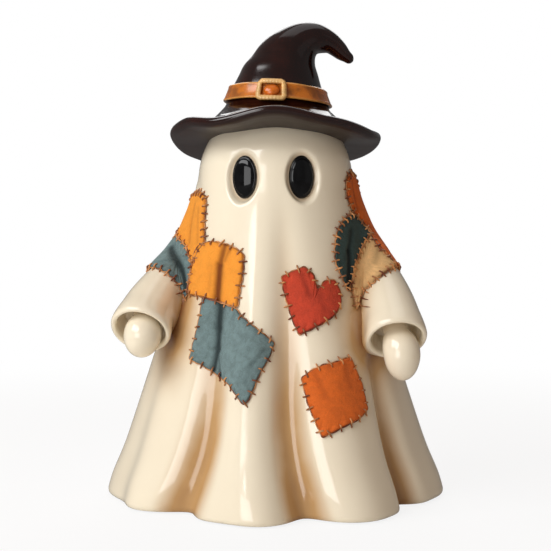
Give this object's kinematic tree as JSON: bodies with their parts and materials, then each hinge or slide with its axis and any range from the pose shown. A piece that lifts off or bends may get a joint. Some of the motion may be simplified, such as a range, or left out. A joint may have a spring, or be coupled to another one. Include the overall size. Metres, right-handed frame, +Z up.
{
  "type": "light-up ghost figurine",
  "caption": "Free-standing glazed ghost figure with sleeves, hands, a bent witch hat and stitched patches, lit from inside by a battery lamp behind a door in its base.",
  "frame": {"origin": "on the floor under the middle of the figure, at the bottom of its rubber feet", "axes": "+Z up to the hat, -Y out of the face, +X to the viewer's right"},
  "size_m": [0.1771, 0.172, 0.25],
  "materials": {
    "cream_glaze": "glossy glaze, washed light brown in the folds",
    "hat_glaze": "glossy glaze",
    "band_glaze": "glossy glaze",
    "eye_glaze": "glossy",
    "amber_felt": "felt",
    "orange_felt": "felt",
    "slate_felt": "felt",
    "teal_felt": "felt",
    "tan_felt": "felt",
    "red_felt": "felt",
    "black_plastic": "fine grain",
    "white_plastic": "smooth",
    "frosted_plastic": "frosted",
    "lamp_epoxy": "clear",
    "board_green": "solder mask",
    "steel": "zinc plated",
    "cell_jacket": "satin jacket",
    "rubber_black": "matt",
    "wire_red": "insulation",
    "wire_black": "insulation"
  },
  "bodies": {
    "figure": {"robe_shell": "cream_glaze", "left_sleeve": "cream_glaze", "right_sleeve": "cream_glaze", "left_hand": "cream_glaze", "right_hand": "cream_glaze", "left_eye": "eye_glaze", "right_eye": "eye_glaze", "witch_hat": "hat_glaze", "hat_band": "band_glaze", "buckle_frame": "band_glaze", "buckle_stud": "band_glaze", "left_shoulder_patch": "amber_felt", "left_sleeve_patch": "slate_felt", "chest_patch": "amber_felt", "front_patch": "slate_felt", "heart_patch": "red_felt", "skirt_patch": "orange_felt", "right_shoulder_patch": "orange_felt", "right_side_patch": "teal_felt", "right_sleeve_patch": "tan_felt", "base_plate": "black_plastic", "battery_box": "black_plastic", "switch_body": "black_plastic", "led_pillar": "white_plastic", "led_board": "board_green", "light_diffuser": "frosted_plastic", "red_wire": "wire_red", "black_wire": "wire_black", "base_screw_1": "steel", "battery_1": "cell_jacket", "contact_spring_1": "steel", "contact_plate_1": "steel", "led_1": "lamp_epoxy", "base_screw_2": "steel", "battery_2": "cell_jacket", "contact_spring_2": "steel", "contact_plate_2": "steel", "led_2": "lamp_epoxy", "base_screw_3": "steel", "battery_3": "cell_jacket", "contact_spring_3": "steel", "contact_plate_3": "steel", "led_3": "lamp_epoxy", "rubber_foot_1": "rubber_black", "rubber_foot_2": "rubber_black", "rubber_foot_3": "rubber_black", "rubber_foot_4": "rubber_black"},
    "battery_door": {"battery_door": "black_plastic", "door_screw": "steel"},
    "switch_slider": {"switch_slider": "black_plastic"}
  },
  "joints": [
    {"name": "door_hinge", "type": "hinge", "parent": "figure", "child": "battery_door", "pos_m": [0, 0.019, 0.002], "axis": [1, 0, 0], "range_deg": [0, 90]},
    {"name": "switch_slide", "type": "slide", "parent": "figure", "child": "switch_slider", "axis": [0, 1, 0], "range_m": [0, 0.004]}
  ]
}
